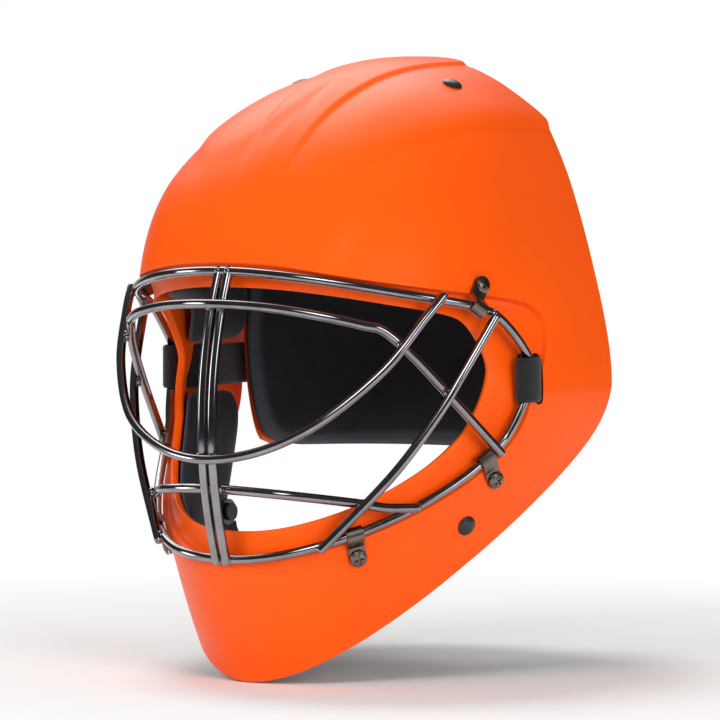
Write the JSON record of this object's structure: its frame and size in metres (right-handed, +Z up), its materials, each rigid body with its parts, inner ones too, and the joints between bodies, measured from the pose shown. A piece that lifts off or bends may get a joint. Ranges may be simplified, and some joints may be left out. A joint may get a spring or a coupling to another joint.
{
  "type": "field hockey goalkeeper helmet",
  "caption": "Moulded one-piece helmet with a deep chin guard, a welded wire face cage, foam liner, sliding back plate on elastic straps and a hanging chin cup.",
  "frame": {"origin": "middle of the head space, on the mirror plane", "axes": "the wearer faces -Y, +X is the wearer's left, +Z is up; millimetres in the source, metres in the row"},
  "size_m": [0.2314, 0.2572, 0.3063],
  "materials": {
    "shell_plastic": "satin moulded orange plastic",
    "foam": "matte closed-cell foam with a faint skin",
    "cage_steel": "polished dark nickel over round steel wire",
    "clip_steel": "dark nickel plated strip, slightly warm",
    "screw_steel": "dark plated steel, cross-recess heads",
    "webbing": "woven black elastic webbing",
    "cup_plastic": "fine-grained black plastic",
    "buckle_plastic": "moulded black nylon, fine grain"
  },
  "bodies": {
    "helmet": {"shell": "shell_plastic", "forehead_pad": "foam", "crown_pad": "foam", "temple_pad_left": "foam", "temple_pad_right": "foam", "cheek_pad_left": "foam", "cheek_pad_right": "foam", "chin_guard_pad": "foam", "cage_ring": "cage_steel", "cage_loop_bar": "cage_steel", "cage_brow_bar": "cage_steel", "cage_lower_bar": "cage_steel", "cage_centre_bar_left": "cage_steel", "cage_centre_bar_right": "cage_steel", "cage_diagonal_left": "cage_steel", "cage_diagonal_right": "cage_steel", "temple_clips": "clip_steel", "side_clips": "clip_steel", "chin_clips": "clip_steel", "clip_screws": "screw_steel", "clip_nuts": "screw_steel", "crown_studs": "screw_steel", "jaw_studs": "screw_steel", "harness_loop_left": "webbing", "harness_loop_right": "webbing", "harness_strap_left": "webbing", "harness_strap_right": "webbing", "crown_strap_left": "webbing", "crown_strap_right": "webbing"},
    "back": {"back_plate": "shell_plastic", "back_pad": "foam", "harness_tail_left": "webbing", "harness_tail_right": "webbing", "harness_buckle_left": "buckle_plastic", "harness_buckle_right": "buckle_plastic", "harness_rear_strap": "webbing", "plate_rivets": "screw_steel"},
    "chin_sling": {"chin_cup": "cup_plastic", "chin_cup_pad": "foam", "chin_strap_left": "webbing", "chin_strap_right": "webbing", "chin_strap_eyelets": "screw_steel", "chin_strap_slider_left": "buckle_plastic", "chin_strap_slider_right": "buckle_plastic"}
  },
  "joints": [
    {"name": "back_slide", "type": "slide", "parent": "helmet", "child": "back", "axis": [0, 1, 0], "range_m": [0, 0.018], "stiffness_N_per_m": 400, "springref_m": -0.02, "deforming": ["harness_strap_left", "harness_strap_right", "crown_strap_left", "crown_strap_right"]},
    {"name": "chin_sling_swing", "type": "hinge", "parent": "helmet", "child": "chin_sling", "pos_m": [0, -0.0235, -0.0705], "axis": [1, 0, 0], "range_deg": [-60, 60]}
  ]
}
